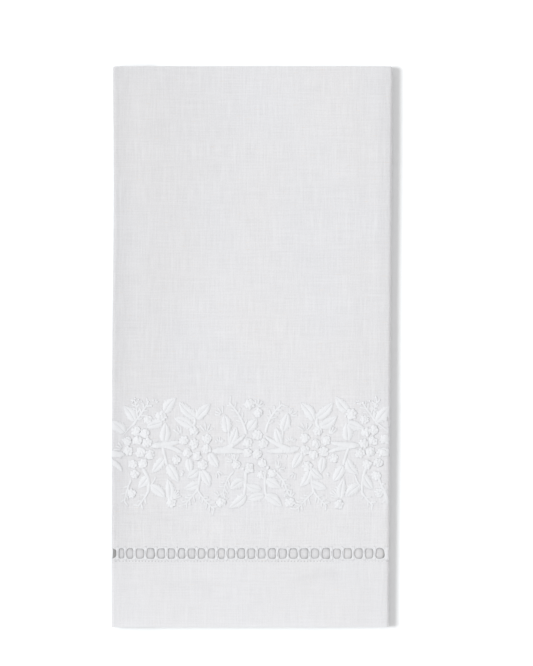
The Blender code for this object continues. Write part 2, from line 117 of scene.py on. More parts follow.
def front_height(x, up):
    level = FRONT_LEVEL + wave(x, up) - FRONT_LEFT_SAG * near_left_fold(x)
    return level - FRONT_RIGHT_SAG * near_right_fold(x)


def left_height(x, up):
    return LEFT_LEVEL + wave(x, up) / 2 - FLAP_SAG * near_left_fold(x)


def right_height(x, up):
    return RIGHT_LEVEL + 0 * x


def panel(height, x, up, side, out):
    """Place on a flat panel: at its height, and out along the normal to its slope. Side -1 is face down."""
    step = 0.1 * MM
    slope = (height(x + step, up) - height(x - step, up)) / (2 * step)
    out = side * out / np.sqrt(1 + slope * slope)
    return x - slope * out, height(x, up) + out


def turn(edge, upper, lower, up, hand, angle, out):
    """Place on a side fold, at an angle from 0 on top to pi below: half a superellipse between the two
    panels, whose power grows from 2 at the inner ply to a squarer, pressed shape at the outer one."""
    top, bottom = upper(edge, up), lower(edge, up)
    radius = (top - bottom) / 2
    power = 2 + FOLD_SQUARE * smooth_step(out / HALF_PLY)
    s, c = np.sin(angle), np.cos(angle)
    reach = (radius + out) * (np.abs(s) ** power + np.abs(c) ** power) ** (-1 / power)
    return edge - hand * radius + hand * reach * s, (top + bottom) / 2 + reach * c


def folded_thirds(across, up, out):
    """The x and z of spots out from the plies' middle line: two flaps, two turns and the front."""
    dent = LEFT_DENT * np.exp(-(((up - DENT_AT) / DENT_SPREAD) ** 2))
    left = -HALF_WIDTH + LEFT_LEAN * up + dent + REACH
    right = RIGHT_FOLD + RIGHT_LEAN * up - REACH
    left_start = left + (front_height(left, up) - left_height(left, up)) / 2
    right_start = right - (front_height(right, up) - right_height(right, up)) / 2
    share = (across - LEFT_TURN) / (RIGHT_TURN - LEFT_TURN)
    skew = 1 + FLAP_SKEW * up / TOWEL_LENGTH
    left_angle = math.pi * (LEFT_TURN - across) / LEFT_ARC
    right_angle = math.pi * (across - RIGHT_TURN) / RIGHT_ARC
    left_run = (LEFT_TURN - LEFT_ARC - across) * skew
    right_run = (across - RIGHT_TURN - RIGHT_ARC) * skew
    front_at = left_start + share * (right_start - left_start)
    pieces = (
        (across < LEFT_TURN - LEFT_ARC, panel(left_height, left_start + left_run, up, -1, out)),
        (across < LEFT_TURN, turn(left, front_height, left_height, up, -1, left_angle, out)),
        (across <= RIGHT_TURN, panel(front_height, front_at, up, 1, out)),
        (across < RIGHT_TURN + RIGHT_ARC, turn(right, front_height, right_height, up, 1, right_angle, out)),
        (across < math.inf, panel(right_height, right_start - right_run, up, -1, out)),
    )
    wheres = [where for where, _ in pieces]
    return [np.select(wheres, [found[axis] + 0 * across for _, found in pieces]) for axis in range(2)]


def fold_angle(across):
    """How far round a side fold a place lies, 0 on the front panel."""
    return np.maximum((LEFT_TURN - across) / LEFT_ARC, (across - RIGHT_TURN) / RIGHT_ARC).clip(0) * math.pi


def cloth_points(spots):
    """Lays (across, along, lift) rows in space: out from the plies' middle line by their half gap and lift,
    turned over the top fold by half a circle."""
    across, along, lift = spots[:, 0], spots[:, 1], spots[:, 2]
    angle = np.clip((along - TOP_TURN) / HALF_PLY, 0.0, math.pi)
    up = np.where(along <= TOP_TURN, along, np.minimum(TOP_TURN, 2 * TOP_TURN + TOP_ARC - along))
    x, z = folded_thirds(across, up, (HALF_PLY + lift) * np.cos(angle))
    return np.column_stack((x, up + (HALF_PLY + lift) * np.sin(angle) - TOWEL_LENGTH / 2, z))


# The openings' cells are numbered from the last one on the front, less for those to its left. Spacing drifts
# like a slow cosine, one cell is narrower at the left fold, and the cell on the right fold is whole cloth.
HOLE_PITCH = 4.98 * MM
BAR_WIDE = 1.0 * MM
HOLE_HEIGHT = 5.3 * MM
HOLE_UP = 34.97 * MM
HOLE_ROUND = 4.6
LAST_FRONT_HOLE = 60.6 * MM
WHOLE_CELL = 1
NARROW_CELL = -25
NARROWER = 2.3 * MM
THINNER_BAR = 0.55
DRIFT = 0.86 * MM
DRIFT_CELLS = 21
DRIFT_FROM = -20.5
STRIP_BOTTOM = 30.5 * MM
STRIP_TOP = 39.5 * MM
PANEL_STEPS = 3
FOLD_STEPS = 10
SIDE_STEPS = 8
CELL_RINGS = (0.0, 0.35, 0.7, 0.9, 1.0)
SAME_LINE = 1e-6
BAND_BOTTOM = 53.0 * MM
BAND_TOP = 111.0 * MM

left_cells = math.floor((LAST_FRONT_HOLE - LEFT_END - HOLE_PITCH) / HOLE_PITCH)
right_cells = math.floor((RIGHT_END - LAST_FRONT_HOLE - HOLE_PITCH) / HOLE_PITCH)
cells = np.arange(-left_cells, right_cells + 1)
cell_edges = LAST_FRONT_HOLE + (np.append(cells, cells[-1] + 1) - 0.5) * HOLE_PITCH
cell_edges[:-1] += DRIFT * np.cos(2 * math.pi * (cells - DRIFT_FROM) / DRIFT_CELLS)
cell_edges[:-1] += NARROWER * ((cells <= NARROW_CELL) + 0.25 * (cells == NARROW_CELL + 1))
cell_left, cell_right = cell_edges[:-1], cell_edges[1:]
open_half = (cell_right - cell_left) / 2 - BAR_WIDE / 2 * np.where(cells <= NARROW_CELL, THINNER_BAR, 1)


def stretch(start, end, step):
    """Even steps of about the given size from start up to, and without, end."""
    count = max(1, round((end - start) / step))
    return start + (end - start) * np.arange(count) / count


def hole_rim(angle, middle, half):
    """Superellipse of the given middle and half width. Sines of its place make each one differ."""
    number = middle / HOLE_PITCH
    wide = half * (1 + 0.03 * np.sin(5.1 * number))
    tall = HOLE_HEIGHT / 2 * (1 + 0.04 * np.sin(3.7 * number))
    power = HOLE_ROUND + 1.4 * np.sin(2.9 * number)
    c, s = np.cos(angle), np.sin(angle)
    radius = (np.abs(c / wide) ** power + np.abs(s / tall) ** power) ** (-1 / power)
    skewed = 0.1 * MM * np.sin(3 * angle + 2.3 * number)
    return np.stack((middle + (radius + skewed) * c, HOLE_UP + (radius + skewed) * s), axis=-1)


def sheet_grid(across, along):
    """Flat spots of a grid of the given lines, and its quads."""
    a, b = np.meshgrid(across, along)
    spots = np.column_stack((a.ravel(), b.ravel()))
    at = np.arange(len(spots)).reshape(len(along), len(across))
    quads = np.stack((at[:-1, :-1], at[:-1, 1:], at[1:, 1:], at[1:, :-1]), axis=-1).reshape(-1, 4)
    return spots, quads


def hole_cells(chosen, steps):
    """Rings of quads from each opening's rim out to the box of its cell, blended in straight lines."""
    left, right = cell_left[chosen, None], cell_right[chosen, None]
    middle, half = (left + right) / 2, (right - left) / 2
    side = np.linspace(STRIP_BOTTOM, STRIP_TOP, SIDE_STEPS + 1) - HOLE_UP
    flat = np.linspace(-1, 1, steps + 1)
    box = np.vstack((
        np.column_stack((flat[:-1], np.full(steps, side[0]))),
        np.column_stack((np.ones(SIDE_STEPS), side[:-1])),
        np.column_stack((flat[:0:-1], np.full(steps, side[-1]))),
        np.column_stack((-np.ones(SIDE_STEPS), side[:0:-1])),
    ))
    rim = hole_rim(np.arctan2(box[:, 1], half * box[:, 0]), middle, open_half[chosen, None])
    outer = np.stack((middle + half * box[:, 0], HOLE_UP + box[:, 1] + 0 * half), axis=-1)
    share = np.array(CELL_RINGS)[None, :, None, None]
    spots = outer[:, None] * (1 - share) + rim[:, None] * share
    count, rings, around = spots.shape[:3]
    at = np.arange(count * rings * around).reshape(count, rings, around)
    after = np.roll(at, -1, axis=2)
    quads = np.stack((at[:, :-1], after[:, :-1], after[:, 1:], at[:, 1:]), axis=-1).reshape(-1, 4)
    return spots.reshape(-1, 2), quads


def mesh_object(name, points, faces, material, smooth=True):
    """A mesh object at the origin from an array of points and arrays or lists of faces."""
    mesh = bpy.data.meshes.new(name)
    mesh.from_pydata(points, [], faces)
    mesh.polygons.foreach_set("use_smooth", np.full(len(mesh.polygons), smooth))
    mesh.materials.append(material)
    mesh.update()
    made = bpy.data.objects.new(name, mesh)
    bpy.context.scene.collection.objects.link(made)
    return made


# The cloth's own unevenness: a doubled hem, the ground drawn in round the stitches, and faint creases
# of the iron.
HEM_LINE = 30.8 * MM
HEM_EDGE = 0.8 * MM
SIDE_HEM = 6.0 * MM
ROW_PRESS = 1.1 * MM
ROW_PRESS_SPREAD = 14.0 * MM
UNDER_ROW = 2 * TOP_TURN + TOP_ARC - HOLE_UP
LONGER_BELOW = 3.0
CREASES = (
    # across 1, along 1, across 2, along 2, bend, depth, width
    (17.0, 20.4, 49.5, 25.4, 2.9, 0.18, 1.2),
    (-44.5, 18.0, -10.0, 19.2, 3.0, 0.13, 1.2),
    (-52.0, 152.0, -30.0, 149.0, 1.5, 0.05, 2.6),
    (8.0, 205.0, 44.0, 208.0, 1.5, 0.05, 3.0),
)


def creases(across, along):
    """Depth of the creases: bent troughs that fall off as a bell curve, quickly above and slowly below."""
    depth = 0 * across
    for row in CREASES:
        start, end = np.array(row[:2]) * MM, np.array(row[2:4]) * MM
        run = end - start
        share = ((across - start[0]) * run[0] + (along - start[1]) * run[1]) / (run @ run)
        bent = row[4] * MM * np.sin(math.pi * np.clip(share, 0, 1))
        far = (-(across - start[0]) * run[1] + (along - start[1]) * run[0]) / np.linalg.norm(run) - bent
        near_ends = smooth_step(share * 4) * smooth_step((1 - share) * 4)
        width = row[6] * MM * np.where(far > 0, 1, LONGER_BELOW)
        depth = depth + row[5] * MM * near_ends * np.exp(-((far / width) ** 2))
    return depth


def cloth_lift(across, along):
    """Hem steps as smooth rises, puckers as crossed sines inside the band, less the creases' depth."""
    back = BACK_END - along
    flat = 1 - 0.8 * smooth_step(fold_angle(across) * 2) * smooth_step((math.pi - fold_angle(across)) * 2)
    hem = smooth_step((HEM_LINE - along) / HEM_EDGE) + smooth_step((SIDE_HEM - back) / HEM_EDGE)
    ends = np.minimum(across - LEFT_END, RIGHT_END - across)
    lift = HEM_LIFT * np.maximum(hem, smooth_step((SIDE_HEM - ends) / HEM_EDGE))
    in_band = smooth_step((along - BAND_BOTTOM) / (4 * MM)) * smooth_step((BAND_TOP - along) / (4 * MM))
    first = np.sin(across / (1.31 * MM) + 1.7 * np.sin(along / (3.7 * MM)))
    second = np.sin(along / (1.53 * MM) + 1.4 * np.sin(across / (4.1 * MM)))
    lift = lift + PUCKER * in_band * first * second - creases(across, along)
    under_row = np.exp(-(((along - UNDER_ROW) / ROW_PRESS_SPREAD) ** 2))
    return lift * flat - ROW_PRESS * under_row * (along > TOP_TURN + TOP_ARC)


to_left_fold = np.abs(cell_edges - LEFT_TURN + LEFT_ARC / 2)
to_right_fold = np.abs(cell_edges - RIGHT_TURN - RIGHT_ARC / 2)
to_fold = np.minimum(to_left_fold, to_right_fold)
on_fold = np.minimum(to_fold[:-1], to_fold[1:]) < RIGHT_ARC / 2
whole = cells == WHOLE_CELL
cell_lines = [
    stretch(left, right, (right - left) / (FOLD_STEPS if turned else PANEL_STEPS))
    for left, right, turned in zip(cell_left, cell_right, on_fold)
]
before_cells = stretch(LEFT_END, cell_edges[0], HOLE_PITCH / PANEL_STEPS)
after_cells = np.append(stretch(cell_edges[-1], RIGHT_END, HOLE_PITCH / PANEL_STEPS), RIGHT_END)
lines_across = np.concatenate((before_cells, *cell_lines, after_cells))
on_whole = (lines_across > cell_left[whole] - SAME_LINE) & (lines_across < cell_right[whole] + SAME_LINE)
whole_lines = lines_across[on_whole]
lines_hem = np.concatenate(([0, 0.15 * MM], stretch(0.6 * MM, STRIP_BOTTOM, 1.4 * MM), [STRIP_BOTTOM]))
lines_side = np.linspace(STRIP_BOTTOM, STRIP_TOP, SIDE_STEPS + 1)
lines_body = np.concatenate((
    stretch(STRIP_TOP, BAND_BOTTOM, 2.4 * MM),
    stretch(BAND_BOTTOM, BAND_TOP, 1.5 * MM),
    stretch(BAND_TOP, TOP_TURN, 4.5 * MM),
    stretch(TOP_TURN, TOP_TURN + TOP_ARC, 0.3 * MM),
    stretch(TOP_TURN + TOP_ARC, UNDER_ROW - HOLE_HEIGHT, 7.5 * MM),
    stretch(UNDER_ROW - HOLE_HEIGHT, UNDER_ROW + HOLE_HEIGHT, HOLE_HEIGHT / 4),
    stretch(UNDER_ROW + HOLE_HEIGHT, BACK_END, 7.5 * MM),
    [BACK_END],
))
parts = [
    sheet_grid(lines_across, lines_hem),
    sheet_grid(np.append(before_cells, cell_edges[0]), lines_side),
    sheet_grid(after_cells, lines_side),
    sheet_grid(whole_lines, lines_side),
    hole_cells(~on_fold, PANEL_STEPS),
    hole_cells(on_fold & ~whole, FOLD_STEPS),
    sheet_grid(lines_across, lines_body),
]
starts = np.cumsum([0] + [len(spots) for spots, _ in parts[:-1]])
all_spots = np.vstack([spots for spots, _ in parts])
all_quads = np.vstack([quads + start for start, (_, quads) in zip(starts, parts)])
_, kept, where = np.unique(np.round(all_spots, 7), axis=0, return_index=True, return_inverse=True)
cloth_spots = all_spots[kept]
cloth_quads = where.reshape(-1)[all_quads]
lift = cloth_lift(cloth_spots[:, 0], cloth_spots[:, 1])
laid = cloth_points(np.column_stack((cloth_spots, lift)))


def new_material(name):
    material = bpy.data.materials.new(name)
    material.use_nodes = True
    return material, material.node_tree.nodes, material.node_tree.links


def streaks(nodes, links, source, scale, detail):
    """Noise on the cloth's own map, drawn out along one thread direction by unequal scales."""
    mapping = nodes.new("ShaderNodeMapping")
    mapping.inputs["Scale"].default_value = scale
    noise = nodes.new("ShaderNodeTexNoise")
    noise.inputs["Scale"].default_value = 1.0
    noise.inputs["Detail"].default_value = detail
    links.new(source, mapping.inputs["Vector"])
    links.new(mapping.outputs["Vector"], noise.inputs["Vector"])
    return noise.outputs["Fac"]


def math_node(nodes, links, operation, *values):
    node = nodes.new("ShaderNodeMath")
    node.operation = operation
    for socket, value in zip(node.inputs, values):
        if isinstance(value, (int, float)):
            socket.default_value = value
        else:
            links.new(value, socket)
    return node.outputs[0]


def mapped(nodes, links, value, low, high, top=1.0):
    """A value's range from low to high drawn out, within its limits, to 0 to top."""
    node = nodes.new("ShaderNodeMapRange")
    node.inputs["From Min"].default_value = low
    node.inputs["From Max"].default_value = high
    node.inputs["To Max"].default_value = top
    links.new(value, node.inputs["Value"])
    return node.outputs["Result"]


def mixed(nodes, links, factor, first, second, blend="MIX"):
    """Two colours, each a value or a socket, mixed by a factor."""
    node = nodes.new("ShaderNodeMix")
    node.data_type = "RGBA"
    node.blend_type = blend
    for name, value in (("Factor", factor), ("A", first), ("B", second)):
        if isinstance(value, bpy.types.NodeSocket):
            links.new(value, node.inputs[name])
        else:
            node.inputs[name].default_value = value
    return node.outputs["Result"]


# Linen's colour: white, with a fine grain, thicker threads as short pale slubs that run mostly up the towel,
# a few unbleached flecks along the weft, and a faint cool and warm cast in patches.
linen, nodes, links = new_material("white_linen")
shader = nodes["Principled BSDF"]
cloth_map = nodes.new("ShaderNodeUVMap")
cloth_map.uv_map = "cloth"
flat_map = cloth_map.outputs["UV"]
grain = streaks(nodes, links, flat_map, (1700, 1150, 1), 1)
warp = streaks(nodes, links, flat_map, (1500, 95, 1), 1)
weft = streaks(nodes, links, flat_map, (70, 1500, 1), 1)
warp_slubs = mapped(nodes, links, streaks(nodes, links, flat_map, (900, 55, 7), 0), 0.6, 0.8)
weft_slubs = mapped(nodes, links, streaks(nodes, links, flat_map, (40, 1100, 3), 0), 0.64, 0.84)
threads = math_node(nodes, links, "ADD", warp, math_node(nodes, links, "MULTIPLY", weft, 0.8))
uneven = math_node(nodes, links, "ADD", threads, math_node(nodes, links, "MULTIPLY", grain, 0.9))
tone = mapped(nodes, links, uneven, 0.85, 1.85)
colour = mixed(nodes, links, tone, (0.699, 0.699, 0.714, 1), (0.792, 0.792, 0.809, 1))
slubs = math_node(nodes, links, "MAXIMUM", warp_slubs, math_node(nodes, links, "MULTIPLY", weft_slubs, 0.7))
slub_share = math_node(nodes, links, "MULTIPLY", slubs, 0.42)
slubbed = mixed(nodes, links, slub_share, colour, (0.80, 0.805, 0.82, 1))
patches = streaks(nodes, links, flat_map, (26, 19, 1), 1)
cast_share = mapped(nodes, links, patches, 0.35, 0.65)
cast = mixed(nodes, links, cast_share, (0.994, 0.997, 1.0, 1), (1.0, 0.997, 0.991, 1))
patched = mixed(nodes, links, 1.0, slubbed, cast, "MULTIPLY")
fleck = mapped(nodes, links, streaks(nodes, links, flat_map, (230, 1500, 5), 0), 0.76, 0.84, 0.25)
flecked = mixed(nodes, links, fleck, patched, (0.76, 0.67, 0.57, 1))
# The mesh's tint of painted shade and highlight, with a faint cast of colour on the band, multiplies the
# colour.
painted_light_and_cast = nodes.new("ShaderNodeAttribute")
painted_light_and_cast.attribute_name = "painted_light_and_cast"
doubled = nodes.new("ShaderNodeAttribute")
doubled.attribute_name = "doubled"
calmer = math_node(nodes, links, "MULTIPLY", doubled.outputs["Fac"], 0.25)
calmed = mixed(nodes, links, calmer, flecked, (0.745, 0.747, 0.763, 1))
painted_light = mixed(nodes, links, 1.0, calmed, painted_light_and_cast.outputs["Color"], "MULTIPLY")

# Under each opening the back ply has painted shade that deepens towards the rim and more on the right side,
# as a superellipse of the cell's own map.
row_map = nodes.new("ShaderNodeUVMap")
row_map.uv_map = "row"
row_parts = nodes.new("ShaderNodeSeparateXYZ")
links.new(row_map.outputs["UV"], row_parts.inputs["Vector"])
powers = [
    math_node(nodes, links, "POWER", math_node(nodes, links, "ABSOLUTE", row_parts.outputs[axis], 0), 3)
    for axis in ("X", "Y")
]
ring = math_node(nodes, links, "ADD", *powers)
near_row = math_node(nodes, links, "LESS_THAN", powers[1], 4.0)
lean_right = math_node(nodes, links, "MULTIPLY_ADD", row_parts.outputs["X"], 0.9, 1.0)
under = math_node(nodes, links, "MULTIPLY", mapped(nodes, links, ring, -0.1, 0.95, 0.34), near_row)
under = math_node(nodes, links, "MULTIPLY", under, lean_right)
rim_shaded = mixed(nodes, links, under, painted_light, (0.10, 0.10, 0.09, 1))

# Along the hem's edge the needle has left small holes between the stitches; their shade is painted as a line
# of dark dots.
NEEDLE_PITCH = 1.55 * MM
NEEDLE_UP = 31.3 * MM
NEEDLE_HOLE = 0.24 * MM
separate = nodes.new("ShaderNodeSeparateXYZ")
links.new(flat_map, separate.inputs["Vector"])
needle_turn = math_node(nodes, links, "MULTIPLY", separate.outputs["X"], 2 * math.pi / NEEDLE_PITCH)
between = math_node(nodes, links, "LESS_THAN", math_node(nodes, links, "COSINE", needle_turn, 0), -0.45)
off_line = math_node(nodes, links, "SUBTRACT", separate.outputs["Y"], NEEDLE_UP)
on_line = math_node(nodes, links, "LESS_THAN", math_node(nodes, links, "ABSOLUTE", off_line, 0), NEEDLE_HOLE)
dots = math_node(nodes, links, "MULTIPLY", between, on_line)
dots = math_node(nodes, links, "MULTIPLY", dots, mapped(nodes, links, patches, 0.4, 0.6, 0.4))
dotted = mixed(nodes, links, dots, rim_shaded, (0.25, 0.25, 0.25, 1))
links.new(dotted, shader.inputs["Base Color"])
shader.inputs["Subsurface Weight"].default_value = 0.6
shader.inputs["Subsurface Radius"].default_value = (1.0, 1.0, 1.0)
shader.inputs["Subsurface Scale"].default_value = 0.5 * MM
shader.inputs["Roughness"].default_value = 0.92
shader.inputs["Specular IOR Level"].default_value = 0.18
shader.inputs["Sheen Weight"].default_value = 0.12
shader.inputs["Sheen Roughness"].default_value = 0.5
THREAD_PITCH = 0.39 * MM
turns = 2 * math.pi / THREAD_PITCH
over = [
    math_node(nodes, links, "SINE", math_node(nodes, links, "MULTIPLY", separate.outputs[axis], turns), 0)
    for axis in ("X", "Y")
]
weave = math_node(nodes, links, "MULTIPLY", over[0], over[1])
weave_height = math_node(nodes, links, "MULTIPLY", weave, 0.07)
height = math_node(nodes, links, "ADD", uneven, weave_height)
bump = nodes.new("ShaderNodeBump")
bump.inputs["Strength"].default_value = 0.35
bump.inputs["Distance"].default_value = 0.12 * MM
links.new(height, bump.inputs["Height"])
links.new(bump.outputs["Normal"], shader.inputs["Normal"])

cloth = mesh_object("towel_cloth", laid, cloth_quads, linen)
corners = cloth_quads.ravel()
uv = cloth.data.uv_layers.new(name="cloth")
uv.data.foreach_set("uv", (cloth_spots[corners] - (LEFT_END, 0)).ravel())
FAR_FROM_ROW = 9.0
quad_middles = cloth_spots[cloth_quads].mean(axis=1)
cell_at = (np.searchsorted(cell_edges, quad_middles[:, 0]) - 1).clip(0, len(cells) - 1).repeat(4)
across_cell = (cloth_spots[corners, 0] - (cell_left + cell_right)[cell_at] / 2) / open_half[cell_at]
# Cells left of the narrow one, round the left fold, carry the rim's painted shade all over.
across_cell = np.where(cells[cell_at] < NARROW_CELL, 1.0, across_cell)
along_cell = (UNDER_ROW - cloth_spots[corners, 1]) / (HOLE_HEIGHT / 2)
in_row = (np.abs(quad_middles[:, 1] - UNDER_ROW) < HOLE_HEIGHT).repeat(4)
row_uv = cloth.data.uv_layers.new(name="row")
row_spots = np.column_stack((across_cell, np.where(in_row, along_cell, FAR_FROM_ROW)))
row_uv.data.foreach_set("uv", row_spots.ravel())

# Painted light as a tint: painted shade from the left fold inwards and on it, beside the right fold, up the
# towel and in the creases, a painted highlight on the right fold, and a faint cast of colour on the worked
# band.
LEFT_RUN = 65.0 * MM
WIDENS_OVER = 80 * MM
LEFT_DARK = 0.046
LEFT_FADES = 60 * MM
LEFT_EDGE_RUN = 10.0 * MM
LEFT_EDGE_SHADE = 0.034
EDGE_DARK = 0.075
RIGHT_RUN = 5 * MM
RIGHT_DARK = 0.04
RIGHT_FADES = 200 * MM
RIGHT_HIGHLIGHT = 0.09
UP_DARK = 0.027
CREASE_DARK = 150.0
BAND_TINT = np.array((0.006, 0.004, 0.006))
across, along = cloth_spots[:, 0], cloth_spots[:, 1]
# Painted shade from the left fold inwards and on the fold itself, fading towards the hem.
on_left_fold = smooth_step(fold_angle(across)) * (across < 0)
from_left = np.abs(across - LEFT_TURN + LEFT_ARC / 2)
left_run = LEFT_RUN * (0.65 + 0.35 * smooth_step(along / WIDENS_OVER - 1.6))
left_shade = LEFT_DARK * smooth_step(1.15 - from_left / left_run)
left_shade = left_shade + LEFT_EDGE_SHADE * smooth_step(1.15 - from_left / LEFT_EDGE_RUN)
left_shade = left_shade * (0.1 + 0.9 * smooth_step(along / LEFT_FADES))
# Painted shade beside the right fold, fading towards the hem, and a painted highlight on the right fold
# itself.
near_right = smooth_step(1.1 - np.abs(across - RIGHT_TURN) / RIGHT_RUN)
near_right = near_right * smooth_step(along / RIGHT_FADES)
on_right_fold = smooth_step((fold_angle(across) - 0.4) / 0.8) * (across > 0)
right_shade = RIGHT_DARK * near_right - RIGHT_HIGHLIGHT * on_right_fold
# Painted shade that deepens up the towel towards the top fold.
from_hem = np.clip(along / TOWEL_LENGTH, 0, 1)
in_band = smooth_step((along - BAND_BOTTOM) / HOLE_PITCH) * (along < BAND_TOP)
painted_light = (1 - left_shade - EDGE_DARK * on_left_fold - right_shade) * (1 - UP_DARK * from_hem)
# Painted shade in the creases, by their depth.
painted_light = painted_light * (1 - CREASE_DARK * creases(across, along))
tint = np.ones((len(painted_light), 4))
tint[:, :3] = painted_light[:, None] * (1 + in_band[:, None] * BAND_TINT)
painted_light_and_cast = cloth.data.attributes.new("painted_light_and_cast", "FLOAT_COLOR", "POINT")
painted_light_and_cast.data.foreach_set("color", tint.astype(np.float32).ravel())
doubled = cloth.data.attributes.new("doubled", "FLOAT", "POINT")
doubled.data.foreach_set("value", smooth_step((HEM_LINE - along) / HEM_EDGE))
thickness = cloth.modifiers.new("cloth_thickness", "SOLIDIFY")
thickness.thickness = CLOTH_THICK
thickness.offset = 0
thickness.use_even_offset = True
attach(cloth, "root")
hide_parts("towel")

# White cotton thread for all the hand work: bright and slightly cool, with a soft sheen. A fine noise mixes
# its two tones and lifts its strands, and like the linen it has painted shade towards the left fold.
SHADE_FROM = -0.057
SHADE_TO = -0.067
cotton, nodes, links = new_material("white_cotton_thread")
shader = nodes["Principled BSDF"]
place = nodes.new("ShaderNodeTexCoord")
strands = nodes.new("ShaderNodeTexNoise")
strands.inputs["Scale"].default_value = 2600
strands.inputs["Detail"].default_value = 2
links.new(place.outputs["Object"], strands.inputs["Vector"])
two_tones = mixed(nodes, links, strands.outputs["Fac"], (0.725, 0.733, 0.75, 1), (0.795, 0.804, 0.823, 1))
thread_at = nodes.new("ShaderNodeSeparateXYZ")
links.new(place.outputs["Object"], thread_at.inputs["Vector"])
shade_share = mapped(nodes, links, thread_at.outputs["X"], SHADE_FROM, SHADE_TO)
cotton_shaded = mixed(nodes, links, shade_share, two_tones, (0.685, 0.692, 0.71, 1))
links.new(cotton_shaded, shader.inputs["Base Color"])
bump = nodes.new("ShaderNodeBump")
bump.inputs["Strength"].default_value = 0.3
bump.inputs["Distance"].default_value = 0.05 * MM
links.new(strands.outputs["Fac"], bump.inputs["Height"])
links.new(bump.outputs["Normal"], shader.inputs["Normal"])
shader.inputs["Roughness"].default_value = 0.7
shader.inputs["Specular IOR Level"].default_value = 0.2
shader.inputs["Sheen Weight"].default_value = 0.15
shader.inputs["Sheen Roughness"].default_value = 0.4

STITCH_RINGS = 6
STITCH_SIDES = 6
STITCH_FLAT = 0.27
END_TAPER = 0.25
STITCH_SHARE = (1 - np.cos(np.linspace(0, math.pi, STITCH_RINGS))) / 2
STITCH_ARCH = np.sin(math.pi * STITCH_SHARE).clip(0)
CLOTH_TOP = CLOTH_THICK / 2
FADE_FROM = math.radians(10)
FADE_TO = math.radians(50)
FOLD_LIMIT = math.radians(95)


def tube_spots(middle, lift, width):
    """Spots by tube, ring and side round middle lines on the cloth, in flat rings that taper to the ends."""
    run = middle[:, -1] - middle[:, 0]
    aside = np.column_stack((-run[:, 1], run[:, 0])) / np.linalg.norm(run, axis=1, keepdims=True).clip(1e-6)
    radius = np.broadcast_to(width, lift.shape) / 2 * (1 - END_TAPER * (1 - np.sqrt(STITCH_ARCH)))
    around = np.arange(STITCH_SIDES) * 2 * math.pi / STITCH_SIDES
    side_way = radius[..., None] * np.cos(around)
    up_way = radius[..., None] * np.sin(around) * STITCH_FLAT
    flat = middle[:, :, None] + aside[:, None, None] * side_way[..., None]
    return np.concatenate((flat, (CLOTH_TOP + lift[..., None] + up_way)[..., None]), axis=-1)


def stitches(starts, ends, start_lift, end_lift, rise, width, bow=0.0):
    """Straight stitches as low arches. At a share t of its length a stitch lies on the line from start to
    end, moved aside by bow times the sine of pi t, and lifted by rise times the root of that sine."""
    run = ends - starts
    aside = np.column_stack((-run[:, 1], run[:, 0])) / np.linalg.norm(run, axis=1, keepdims=True).clip(1e-6)

    def each(value):
        return np.broadcast_to(np.asarray(value, float), (len(starts),))[:, None]

    middle = starts[:, None] + run[:, None] * STITCH_SHARE[None, :, None]
    middle = middle + aside[:, None] * (each(bow) * STITCH_ARCH)[..., None]
    lift = each(start_lift) * (1 - STITCH_SHARE) + each(end_lift) * STITCH_SHARE
    return tube_spots(middle, lift + each(rise) * np.sqrt(STITCH_ARCH), each(width))


def pressed(spots):
    """The spots with their height over the cloth ironed away round the side folds, and the cloth's own
    unevenness under them added."""
    share = smooth_step((fold_angle(spots[:, 0]) - FADE_FROM) / (FADE_TO - FADE_FROM))
    lift = CLOTH_TOP + (spots[:, 2] - CLOTH_TOP) * (1 - 0.9 * share)
    return np.column_stack((spots[:, :2], lift + cloth_lift(spots[:, 0], spots[:, 1])))


def tubes_object(name, spots, material, seams=(0, STITCH_SIDES // 2)):
    """One joined mesh of closed tubes from spots by tube, ring and side, laid on the folded cloth. Those past
    the upper part of a side fold are left out. Edges along a tube at the seams' side numbers are shaded
    sharp."""
    spots = spots[fold_angle(spots[..., 0].mean(axis=(1, 2))) < FOLD_LIMIT]
    count, rings, sides = spots.shape[:3]
    at = np.arange(count * rings * sides).reshape(count, rings, sides)
    after = np.roll(at, -1, axis=2)
    quads = np.stack((at[:, :-1], after[:, :-1], after[:, 1:], at[:, 1:]), axis=-1).reshape(-1, 4)
    caps = np.concatenate((at[:, 0, ::-1], at[:, -1]))
    points = cloth_points(pressed(spots.reshape(-1, 3)))
    made = mesh_object(name, points, quads[:, ::-1].tolist() + caps[:, ::-1].tolist(), material)
    edge_ends = np.empty(2 * len(made.data.edges), int)
    made.data.edges.foreach_get("vertices", edge_ends)
    first, last = (edge_ends.reshape(-1, 2) % sides).T
    made.data.edges.foreach_set("use_edge_sharp", (first == last) & np.isin(first, seams))
    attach(made, "root")
    return made


# Drawn-thread row. Weft threads are pulled out above the hem, and the warp that is left is tied in bundles
# with white thread, which leaves a ladder of square openings. A line of short stitches runs round each rim.
BUNDLE_STRANDS = 3
BUNDLE_WAIST = 0.10 * MM
BUNDLE_SPREAD = 0.38 * MM
BUNDLE_REACH = 3.2 * MM
BUNDLE_WIDTH = 0.44 * MM
RIM_STITCHES = 22
RIM_OUT = 0.1 * MM
RIM_WIDTH = 0.42 * MM
RIM_SUNK = 0.04 * MM
random = np.random.default_rng(7)

